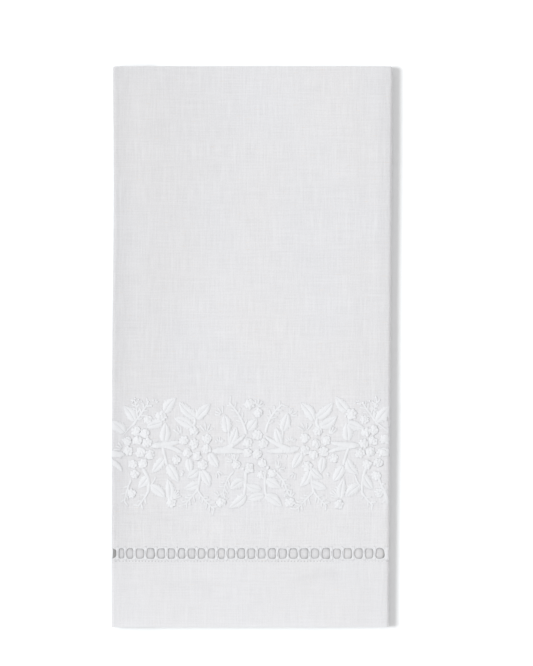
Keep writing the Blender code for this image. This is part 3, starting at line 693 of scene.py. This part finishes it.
bars = np.repeat(cell_edges, BUNDLE_STRANDS)
strand = np.tile(np.linspace(-1, 1, BUNDLE_STRANDS), len(cell_edges))
lean = np.repeat(random.normal(0, 0.1 * MM, len(cell_edges)), BUNDLE_STRANDS)
foot = np.column_stack((bars + strand * BUNDLE_SPREAD - lean, np.full(len(bars), HOLE_UP - BUNDLE_REACH)))
head = np.column_stack((bars + strand * BUNDLE_SPREAD + lean, np.full(len(bars), HOLE_UP + BUNDLE_REACH)))
bundles = stitches(
    foot, head, 0.02 * MM, 0.02 * MM, 0.1 * MM, BUNDLE_WIDTH, strand * (BUNDLE_SPREAD - BUNDLE_WAIST)
)
hemstitch_bars = tubes_object("hemstitch_bars", bundles, cotton)

open_cells = np.repeat(np.flatnonzero(~whole), RIM_STITCHES)
rim_middle, rim_half = (cell_left + cell_right)[open_cells] / 2, open_half[open_cells]
rim_angle = np.tile(np.arange(RIM_STITCHES) * 2 * math.pi / RIM_STITCHES, len(open_cells) // RIM_STITCHES)


def rim_spots(angle):
    """Spots just outside the openings' rims, at the given angles round them."""
    rim = hole_rim(angle, rim_middle, rim_half)
    way = rim - np.column_stack((rim_middle, np.full(len(rim_middle), HOLE_UP)))
    return rim + RIM_OUT * way / np.linalg.norm(way, axis=1, keepdims=True)


rim_turn = math.pi / RIM_STITCHES * random.uniform(1.1, 1.5, len(rim_angle))
rim_stitches = stitches(
    rim_spots(rim_angle - rim_turn),
    rim_spots(rim_angle + rim_turn),
    -RIM_SUNK,
    -RIM_SUNK,
    0.06 * MM,
    RIM_WIDTH,
)
hole_edging = tubes_object("hole_edging", rim_stitches, cotton)

# Short stitches that hold the hem's edge, between the needle holes.
NEEDLE_STITCH = 1.05 * MM
needle_at = np.arange(LEFT_END + NEEDLE_PITCH, RIGHT_END, NEEDLE_PITCH)
needle_up = NEEDLE_UP + random.normal(0, 0.06 * MM, len(needle_at))
hem_stitches = stitches(
    np.column_stack((needle_at - NEEDLE_STITCH / 2, needle_up)),
    np.column_stack((needle_at + NEEDLE_STITCH / 2, needle_up)),
    -0.05 * MM, -0.05 * MM, 0.06 * MM, 0.32 * MM
)
hemming = tubes_object("hem_stitches", hem_stitches, cotton)

# Whitework band: a mirrored repeat of leaves, berries, bars and sprigs, charted in millimetres from the
# band's middle. Each motif is a little off its mirror image, because it is worked by hand.
CHART_MIDDLE = 1.9 * MM
CHART_UP = 81.9 * MM
WOBBLE = 0.4 * MM


def wobbled(spots, side):
    """Chart spots mirrored to a side and moved by two sines of their place."""
    across, up = np.asarray(spots, float).T
    shift_across = WOBBLE * np.sin(1.7 * across + 2.3 * up + side)
    shift_up = WOBBLE * np.sin(2.9 * across - 1.3 * up + 2 * side)
    return np.column_stack((CHART_MIDDLE + side * across * MM + shift_across, CHART_UP + up * MM + shift_up))


def mirrored(table, once):
    """The rows of a table for both sides, and those that stand once, as (row, side) arrays."""
    rows = np.array(table + table + once, float)
    sides = np.repeat((-1, 1, 1), (len(table), len(table), len(once)))
    return rows, sides


def charted(rows, sides, first):
    """Cloth spots of the two columns that start at first."""
    left = wobbled(rows[:, first:first + 2], -1)
    right = wobbled(rows[:, first:first + 2], 1)
    return np.where(sides[:, None] < 0, left, right)


# Leaves, in padded satin stitch: two rows of slanting stitches that meet in a split rib.
LEAF_STITCHES = 14
STITCH_COVER = 1.3
LEAF_HEIGHT = 0.34 * MM
LEAF_GROOVE = 0.5
GROOVE_WIDTH = 0.2
TOOTH = 0.13
TOOTH_STITCHES = 2.6
PAD_RINGS = 11
PAD_TOP = (-1.0, -0.8, -0.55, -0.25, 0.0, 0.25, 0.55, 0.8, 1.0)
PAD_UNDER = (0.6, 0.0, -0.6)
PAD_DEPTH = 0.1 * MM
LEAVES = (
    # base across, base up, tip across, tip up, width
    (58.0, 16.0, 63.0, 23.5, 4.6),
    (62.5, 10.5, 68.0, 16.5, 4.6),
    (44.0, 20.5, 38.5, 27.5, 4.6),
    (44.5, 15.5, 52.0, 13.0, 4.2),
    (44.0, 6.5, 43.0, 15.0, 4.8),
    (29.0, 17.5, 36.5, 25.0, 4.6),
    (28.0, 17.0, 21.5, 24.5, 4.8),
    (30.5, 13.5, 38.5, 18.0, 4.6),
    (13.5, 11.0, 15.0, 19.5, 4.8),
    (12.0, 5.5, 9.5, 13.0, 4.0),
    (43.5, -2.0, 49.0, -9.0, 4.2),
    (42.0, -5.0, 37.0, -13.0, 4.6),
    (51.5, -10.0, 56.5, -16.0, 4.2),
    (49.5, -14.5, 43.5, -20.0, 4.6),
    (41.0, -20.5, 42.0, -11.5, 4.2),
    (32.0, -1.5, 31.5, -8.5, 3.8),
    (27.0, -7.0, 32.5, -11.0, 3.8),
    (25.5, -7.5, 22.0, -15.0, 4.4),
    (27.0, -13.0, 34.5, -16.0, 4.2),
    (21.5, 0.5, 18.0, -6.5, 4.2),
    (5.0, -12.0, 12.5, -16.0, 4.6),
    (5.0, -19.0, 12.5, -25.0, 4.6),
)
MIDDLE_LEAVES = (
    (-4.0, 11.5, 1.0, 17.0, 4.6),
    (3.0, -17.0, -4.5, -14.5, 4.0),
    (3.6, -19.0, -4.0, -21.0, 4.0),
)


def leaf_half(share):
    """Half width of a leaf at a share of its length, for a width of 1: the sine of pi times the share to the
    0.8, to the power 0.75."""
    return np.sin(math.pi * np.clip(share, 0, 1) ** 0.8) ** 0.75 / 2


rows, sides = mirrored(LEAVES, MIDDLE_LEAVES)
base, tip = charted(rows, sides, 0), charted(rows, sides, 2)
leaf_length = np.linalg.norm(tip - base, axis=1)
leaf_ahead = (tip - base) / leaf_length[:, None]
leaf_aside = np.column_stack((-leaf_ahead[:, 1], leaf_ahead[:, 0]))
leaf_wide = rows[:, 4] * MM
leaf_bow = random.normal(0, 0.05, len(rows)) * leaf_length


def on_leaf(share, aside):
    """Spots on the leaves, at shares along a rib that bows like a sine and at distances aside of it."""
    more = (slice(None),) + (None,) * (share.ndim - 1)
    off = aside + leaf_bow[more] * np.sin(math.pi * np.clip(share, 0, 1))
    flat = [
        start[more] + ahead[more] * share * leaf_length[more] + side_way[more] * off
        for start, ahead, side_way in zip(base.T, leaf_ahead.T, leaf_aside.T)
    ]
    return np.stack(flat, axis=-1)


def leaf_top(share, aside):
    """Height of the padding at shares of the length and of the half width: two lobes with a groove."""
    lobes = (1 - np.abs(aside).clip(0, 1) ** 2.5) ** 0.6
    groove = 1 - LEAF_GROOVE * np.exp(-((aside / GROOVE_WIDTH) ** 2))
    return LEAF_HEIGHT * np.sqrt(2 * leaf_half(share)) * lobes * groove


pad_share = (1 - np.cos(np.linspace(0.08, math.pi - 0.08, PAD_RINGS)))[None, :, None] / 2
pad_aside = np.array(PAD_TOP + PAD_UNDER)[None, None]
pad_half = leaf_half(pad_share) * leaf_wide[:, None, None]
pad_flat = on_leaf(0 * pad_half * pad_aside + pad_share, pad_half * pad_aside)
pad_lift = np.where(np.arange(pad_aside.size) < len(PAD_TOP), leaf_top(pad_share, pad_aside), -PAD_DEPTH)
pad_lift = CLOTH_TOP + pad_lift + 0 * pad_half
pad_tubes = np.concatenate((pad_flat, pad_lift[..., None]), axis=-1)
leaf_pads = tubes_object("leaf_padding", pad_tubes, cotton, (0, len(PAD_TOP) - 1))

# A stitch runs from the rib, at a share of the leaf, to the edge further on, over the padding.
on_rib = np.linspace(0, 0.95, LEAF_STITCHES)[None, None, :, None]
on_rib = on_rib + random.normal(0, 0.006, (len(rows), 2, LEAF_STITCHES, 1))
on_edge = 0.14 + 0.86 * on_rib
teeth = 1.08 + TOOTH * np.sin(np.arange(LEAF_STITCHES) * 2 * math.pi / TOOTH_STITCHES)[:, None]
half = leaf_half(on_edge) * leaf_wide[:, None, None, None] * teeth * random.normal(1, 0.08, on_edge.shape)
hand = np.array((-1, 1))[None, :, None, None]
share = on_rib + (on_edge - on_rib) * STITCH_SHARE
aside = half * STITCH_SHARE
leaf_lift = leaf_top(share, aside / (leaf_half(share) * leaf_wide[:, None, None, None]).clip(1e-6))
stitch_width = STITCH_COVER * leaf_length[:, None, None, None] / LEAF_STITCHES + 0 * aside
leaf_tubes = tube_spots(
    on_leaf(share, hand * aside).reshape(-1, STITCH_RINGS, 2),
    leaf_lift.reshape(-1, STITCH_RINGS),
    stitch_width.reshape(-1, STITCH_RINGS),
)
leaves = tubes_object("satin_leaves", leaf_tubes, cotton)

# Berries, each a rosette of coiled knots round one that stands proud.
KNOT_RINGS = 7
KNOT_SIDES = 10
KNOT_STRETCH = 0.22
KNOT_TALL = 0.26 * MM
ROSETTE = (
    # knots in the ring, its radius and theirs for a berry of radius 1, their lift in millimetres
    (7, 0.64, 0.33, 0.08),
    (3, 0.24, 0.33, 0.22),
)
MOUND_SIZE = 0.86
MOUND_LIFT = 0.08 * MM
BERRIES = (
    # across, up, radius
    (57.0, 11.5, 2.6),
    (52.5, 10.5, 2.5),
    (61.5, 7.0, 2.5),
    (56.5, 6.5, 2.6),
    (51.5, 5.5, 2.6),
    (60.5, 1.5, 2.6),
    (55.2, 1.5, 2.7),
    (50.2, 0.5, 2.6),
    (59.0, -4.0, 2.5),
    (53.5, -4.5, 2.6),
    (57.5, -9.5, 2.5),
    (45.5, 19.0, 2.9),
    (51.5, 17.0, 2.4),
    (59.5, -18.0, 2.4),
    (38.0, -2.0, 2.4),
    (40.5, -23.0, 2.6),
    (29.5, 11.5, 2.5),
    (23.5, 8.0, 2.6),
    (34.0, 7.0, 2.5),
    (29.0, 5.5, 2.6),
    (23.8, 2.5, 2.6),
    (32.8, 1.2, 2.6),
    (28.2, -0.2, 2.5),
    (24.8, -5.0, 2.7),
    (3.4, 5.8, 2.6),
    (16.4, -22.5, 2.6),
)
MIDDLE_BERRIES = (
    (-3.2, 24.6, 2.8),
    (1.2, 20.4, 2.5),
    (-4.2, 0.6, 2.5),
    (1.2, 0.8, 2.6),
    (3.6, -3.6, 2.5),
    (-2.8, -6.6, 2.6),
    (1.0, 9.8, 2.7),
    (3.2, -9.2, 2.3),
    (-8.9, -4.9, 2.4),
    (7.8, -8.4, 2.4),
)


def knots_object(name, middles, radius, lift, tall, material):
    """Coiled knots as one joined mesh. Each is a ball of the given radius and height whose surface dips along
    a spiral: its radius is 1 plus 0.05 times the sine of three turns of longitude and six of latitude."""
    count = len(middles)
    tilt = np.linspace(0, math.pi, KNOT_RINGS)[None, :, None]
    around = (np.arange(KNOT_SIDES) * 2 * math.pi / KNOT_SIDES)[None, None, :]
    start = random.uniform(0, 2 * math.pi, (count, 1, 1))
    stretch = random.uniform(0, KNOT_STRETCH, (count, 1, 1))
    ripple = 1 + 0.05 * np.sin(3 * around + 6 * tilt + start) * np.sin(tilt)
    wide = radius[:, None, None] * ripple * np.sin(tilt) * (1 + stretch * np.cos(2 * around))
    across = middles[:, 0, None, None] + wide * np.cos(around + start)
    along = middles[:, 1, None, None] + wide * np.sin(around + start)
    height = CLOTH_TOP + lift[:, None, None] + tall[:, None, None] * ripple * np.cos(tilt) + 0 * across
    spots = np.stack((across, along, height), axis=-1)
    spots = spots[fold_angle(middles[:, 0]) < FOLD_LIMIT]
    count = len(spots)
    at = np.arange(count * KNOT_RINGS * KNOT_SIDES).reshape(count, KNOT_RINGS, KNOT_SIDES)
    at[:, 0] = at[:, 0, :1]
    at[:, -1] = at[:, -1, :1]
    after = np.roll(at, -1, axis=2)
    quads = np.stack((at[:, :-1], after[:, :-1], after[:, 1:], at[:, 1:]), axis=-1)
    top = quads[:, 0][..., [0, 2, 3]].reshape(-1, 3)
    bottom = quads[:, -1][..., [0, 1, 2]].reshape(-1, 3)
    sides = quads[:, 1:-1].reshape(-1, 4)
    faces = [face[::-1] for face in top.tolist() + bottom.tolist() + sides.tolist()]
    points = cloth_points(pressed(spots.reshape(-1, 3)))
    used, where = np.unique(np.concatenate([top.ravel(), bottom.ravel(), sides.ravel()]), return_inverse=True)
    new = np.full(len(points), -1)
    new[used] = np.arange(len(used))
    made = mesh_object(name, points[used], [[int(new[i]) for i in face] for face in faces], material)
    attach(made, "root")
    return made


rows, sides = mirrored(BERRIES, MIDDLE_BERRIES)
berry_middles = charted(rows, sides, 0)
berry_radius = rows[:, 2] * MM
knot_rings = []
for number, out, size, raised in ROSETTE:
    turned = np.arange(number)[None] * 2 * math.pi / number + random.uniform(0, 2 * math.pi, (len(rows), 1))
    turned = turned + random.normal(0, 0.18, turned.shape)
    out = berry_radius[:, None] * random.normal(out, 0.04, turned.shape)
    spots = berry_middles[:, None] + np.stack((np.cos(turned), np.sin(turned)), axis=-1) * out[..., None]
    size = berry_radius[:, None] * random.normal(size, 0.035, turned.shape)
    raised = random.normal(raised * MM, 0.04 * MM, turned.shape)
    knot_rings.append((spots.reshape(-1, 2), size.ravel(), raised.ravel()))
knot_rings.append((berry_middles, berry_radius * MOUND_SIZE, np.full(len(rows), MOUND_LIFT)))
knot_middles, knot_radius, knot_lift = (np.concatenate(part) for part in zip(*knot_rings))
berries = knots_object("berry_knots", knot_middles, knot_radius, knot_lift, KNOT_TALL + 0 * knot_lift, cotton)

# Bars, in satin stitch straight across a bent path, over a padding that rounds them.
BAR_PITCH = 0.55 * MM
BAR_FULL = 0.6
BAR_RISE = 0.27 * MM
BARS = (
    # start across, up, bend across, up, end across, up, width at start, width at end
    (49.0, 4.2, 42.5, 4.4, 36.0, 6.2, 2.8, 1.8),
    (44.0, 3.8, 39.5, 3.4, 35.0, 1.2, 2.0, 1.6),
    (20.5, 2.4, 12.5, 2.2, 5.5, 1.8, 3.2, 1.8),
    (16.5, 2.8, 11.0, 4.2, 5.3, 8.8, 2.0, 1.5),
    (69.0, 0.3, 66.0, 0.2, 63.0, 0.2, 2.6, 2.4),
    (69.0, -2.0, 66.5, -4.0, 64.0, -7.0, 1.9, 1.7),
)


def bent_path(row, side, pitch):
    """Spots, headings and shares, even along a curve that leaves and meets its ends towards the bend."""
    start, bend, end = wobbled(np.reshape(row[:6], (3, 2)), side)
    length = np.linalg.norm(bend - start) + np.linalg.norm(end - bend)
    share = np.linspace(0, 1, max(3, round(length / pitch)))[:, None]
    path = (1 - share) ** 2 * start + 2 * share * (1 - share) * bend + share**2 * end
    ahead = 2 * (1 - share) * (bend - start) + 2 * share * (end - bend)
    return path, ahead / np.linalg.norm(ahead, axis=1, keepdims=True), share[:, 0]


bar_starts, bar_ends, bar_rises, bar_cores, bar_core_widths = [], [], [], [], []
for side in (-1, 1):
    for row in BARS:
        path, ahead, share = bent_path(row, side, BAR_PITCH)
        aside = np.column_stack((-ahead[:, 1], ahead[:, 0]))
        half = (row[6] + (row[7] - row[6]) * share) * MM * BAR_FULL * random.normal(1, 0.06, len(share))
        rounded = np.sqrt(np.clip(np.minimum(share, 1 - share) * 8, 0.25, 1))
        slant = ahead * half[:, None] * 0.35
        bar_starts.append(path - aside * (half * rounded)[:, None] - slant)
        bar_ends.append(path + aside * (half * rounded)[:, None] + slant)
        bar_rises.append(BAR_RISE * rounded * half / (1.3 * MM) * random.normal(1, 0.15, len(share)))
        picks = (STITCH_SHARE * (len(path) - 1)).round().astype(int)
        bar_cores.append(path[picks])
        bar_core_widths.append(half[picks] * 1.9 * np.sqrt(STITCH_ARCH))
bar_tubes = stitches(
    np.vstack(bar_starts),
    np.vstack(bar_ends),
    0.05 * MM,
    0.05 * MM,
    np.concatenate(bar_rises),
    BAR_PITCH * 1.4,
)
core_widths = np.array(bar_core_widths)
core_lift = 0.25 * core_widths * BAR_RISE / MM
bar_cores = tube_spots(np.array(bar_cores), core_lift, core_widths)
bars_piece = tubes_object("satin_bars", np.concatenate((bar_tubes, bar_cores)), cotton)

# Stems, in stem stitch: slanting stitches that each overlap the one before, like a fine rope. Some carry
# straight side stitches, as a feathery sprig.
STEM_PITCH = 0.6 * MM
STEM_STITCH = 1.45 * MM
STEM_LIFT = 0.15 * MM
STEMS = (
    # start across, up, bend across, up, end across, up, width at start, at end, side stitches, their length
    (44.0, 3.0, 43.5, -0.5, 42.0, -4.0, 1.3, 1.2, 0, 0.0),
    (53.0, -7.0, 50.5, -12.0, 51.5, -17.5, 1.5, 1.2, 0, 0.0),
    (51.5, -17.5, 53.0, -21.0, 56.0, -24.0, 1.1, 0.8, 5, 2.0),
    (59.5, -12.0, 62.0, -17.0, 62.5, -22.5, 1.1, 0.8, 6, 1.8),
    (26.5, -8.0, 26.8, -12.5, 28.0, -17.0, 1.3, 1.2, 0, 0.0),
    (28.0, -17.0, 30.5, -20.5, 34.0, -24.0, 1.0, 0.7, 7, 2.1),
    (28.0, -17.0, 24.5, -21.5, 19.5, -25.5, 1.0, 0.7, 9, 2.2),
    (10.5, -8.5, 15.0, -12.5, 15.5, -19.0, 1.0, 0.8, 8, 2.0),
    (4.5, -8.5, 4.5, -12.5, 5.3, -18.5, 1.4, 1.2, 0, 0.0),
    (5.0, 11.0, 6.5, 18.5, 12.0, 24.0, 1.2, 0.9, 9, 2.4),
    (58.0, 14.5, 54.5, 19.5, 51.5, 24.0, 1.1, 0.8, 8, 2.2),
    (56.0, 18.5, 57.2, 22.0, 57.5, 26.0, 0.8, 0.6, 6, 1.6),
    (63.0, 10.0, 60.0, 13.5, 57.5, 15.5, 0.6, 0.8, 0, 0.0),
    (43.9, 20.0, 44.2, 17.5, 44.8, 15.5, 0.7, 0.8, 0, 0.0),
    (29.0, 17.0, 29.0, 15.5, 29.3, 13.8, 1.2, 1.4, 0, 0.0),
    (13.2, 10.5, 12.5, 7.0, 12.0, 3.6, 1.0, 1.1, 0, 0.0),
    (47.5, -10.5, 49.0, -13.0, 50.5, -14.5, 0.7, 0.7, 0, 0.0),
)
SIDE_WIDTH = 0.8 * MM
SIDE_LEAN = math.radians(52)

stem_starts, stem_ends, stem_widths = [], [], []
for side in (-1, 1):
    for row in STEMS:
        path, ahead, share = bent_path(row, side, STEM_PITCH)
        aside = np.column_stack((-ahead[:, 1], ahead[:, 0]))
        width = (row[6] + (row[7] - row[6]) * share) * MM
        stem_starts.append(path - ahead * STEM_STITCH / 2 - aside * width[:, None] * 0.34)
        stem_ends.append(path + ahead * STEM_STITCH / 2 + aside * width[:, None] * 0.34)
        stem_widths.append(width * 0.85)
        if not row[8]:
            continue
        picks = np.linspace(0.25, 1, row[8]) * (len(path) - 1)
        at = picks.round().astype(int)
        hand = np.where(np.arange(row[8]) % 2, 1, -1)[:, None]
        lean = SIDE_LEAN + random.normal(0, 0.12, (row[8], 1))
        way = ahead[at] * np.cos(lean) + aside[at] * hand * np.sin(lean)
        reach = row[9] * MM * random.uniform(1.1, 1.6, (row[8], 1))
        stem_starts.append(path[at])
        stem_ends.append(path[at] + way * reach)
        stem_widths.append(np.full(row[8], SIDE_WIDTH))
stem_tubes = stitches(
    np.vstack(stem_starts), np.vstack(stem_ends), 0.0, 0.0, STEM_LIFT, np.concatenate(stem_widths)
)
stems = tubes_object("stem_stitches", stem_tubes, cotton)

# Straight-stitch fans beside the berries and leaves, and small seed knots at the ends of the upper sprigs.
FAN_WIDTH = 0.8 * MM
FAN_GAP = 0.9 * MM
FANS = (
    # base across, up, heading in degrees from outward, spread in degrees, stitches, length
    (15.7, 18.8, 45, 90, 4, 3.0),
    (35.1, 9.3, 63, 48, 3, 3.5),
    (24.0, 10.6, 98, 96, 4, 3.4),
    (17.3, 5.4, 92, 110, 5, 2.2),
    (63.0, 2.2, 30, 66, 3, 3.0),
    (40.7, -20.9, 141, 50, 4, 4.0),
    (19.3, -7.6, 235, 60, 3, 2.6),
    (16.4, -20.6, 92, 110, 4, 2.8),
    (14.8, 1.0, 280, 0, 1, 1.6),
    (12.4, 0.9, 265, 0, 1, 1.7),
    (10.2, 1.0, 275, 0, 1, 1.6),
    (33.8, -9.8, 20, 60, 3, 1.8),
    (48.6, 24.6, 120, 90, 3, 1.6),
)
MIDDLE_FANS = (
    (0.6, 22.6, 60, 70, 4, 3.2),
    (-10.2, -3.8, 110, 120, 5, 3.2),
    (9.9, -7.4, 45, 110, 5, 3.0),
)
SEED_KNOTS = (
    # across, up, radius
    (51.0, 25.2, 0.55),
    (49.6, 23.6, 0.5),
    (57.8, 27.2, 0.55),
    (56.0, 25.8, 0.5),
    (59.2, 25.6, 0.5),
    (54.2, 25.4, 0.5),
    (6.2, -6.2, 0.8),
    (60.8, -14.2, 0.6),
    (42.6, 18.0, 0.6),
    (14.6, -20.0, 0.6),
)
fan_starts, fan_ends = [], []
rows, sides = mirrored(FANS, MIDDLE_FANS)
for row, side in zip(rows, sides):
    base = wobbled(row[None, :2], side)
    count = int(row[4])
    heading = np.radians(row[2] + row[3] * np.linspace(-0.5, 0.5, count) + random.normal(0, 4, count))
    way = np.column_stack((side * np.cos(heading), np.sin(heading)))
    reach = row[5] * MM * random.uniform(1.15, 1.5, (count, 1))
    fan_starts.append(base + way * FAN_GAP)
    fan_ends.append(base + way * reach)
fan_tubes = stitches(np.vstack(fan_starts), np.vstack(fan_ends), 0.04 * MM, 0.04 * MM, 0.13 * MM, FAN_WIDTH)
fans = tubes_object("straight_stitch_fans", fan_tubes, cotton)
rows, sides = mirrored(SEED_KNOTS, ())
seed_radius = rows[:, 2] * MM
seeds = knots_object(
    "seed_knots", charted(rows, sides, 0), seed_radius, seed_radius * 0.2, seed_radius * 0.5, cotton
)

# Setting: a plain white floor, one soft light from the left, and a long lens straight above.
FLOOR_HALF = 1.5
FLOOR_GAP = 0.05 * MM
paper, nodes, links = new_material("floor_white")
nodes["Principled BSDF"].inputs["Base Color"].default_value = (0.972, 0.988, 0.998, 1)
nodes["Principled BSDF"].inputs["Roughness"].default_value = 1.0
nodes["Principled BSDF"].inputs["Specular IOR Level"].default_value = 0.0
floor_sides = ((-1, -1), (1, -1), (1, 1), (-1, 1))
floor_corners = [(x * FLOOR_HALF, y * FLOOR_HALF, -FLOOR_GAP) for x, y in floor_sides]
floor = mesh_object("floor", floor_corners, [(0, 1, 2, 3)], paper, smooth=False)

KEY_ELEVATION = math.radians(56)
KEY_AZIMUTH = math.radians(178)
KEY_STRENGTH = 1.9
KEY_SOFTNESS = math.radians(20)
AMBIENT = 0.625
KEY_TINT = (0.99, 1.01, 1.025)
AMBIENT_TINT = (1.0, 0.982, 0.97, 1)
sun = bpy.data.lights.new("key_light", "SUN")
sun.energy = KEY_STRENGTH
sun.color = KEY_TINT
sun.angle = KEY_SOFTNESS
key = bpy.data.objects.new("key_light", sun)
key.rotation_euler = (0, math.pi / 2 - KEY_ELEVATION, KEY_AZIMUTH)
bpy.context.scene.collection.objects.link(key)
world = bpy.data.worlds.new("soft_room")
world.use_nodes = True
world.node_tree.nodes["Background"].inputs["Color"].default_value = AMBIENT_TINT
world.node_tree.nodes["Background"].inputs["Strength"].default_value = AMBIENT
bpy.context.scene.world = world
bpy.context.scene.view_settings.view_transform = "Standard"

PIXEL = 0.4758 * MM
FRAME_TALL = 666 * PIXEL
CAMERA_AT = (6.9 * MM, 6.5 * MM)
CAMERA_HEIGHT = 4.5
SENSOR = 36.0
lens = bpy.data.cameras.new("camera")
lens.sensor_width = SENSOR
lens.lens = SENSOR * (CAMERA_HEIGHT - FRONT_LEVEL) / FRAME_TALL
lens.clip_start = 0.1
lens.clip_end = 10
camera = bpy.data.objects.new("camera", lens)
camera.location = (*CAMERA_AT, CAMERA_HEIGHT)
bpy.context.scene.collection.objects.link(camera)
bpy.context.scene.camera = camera
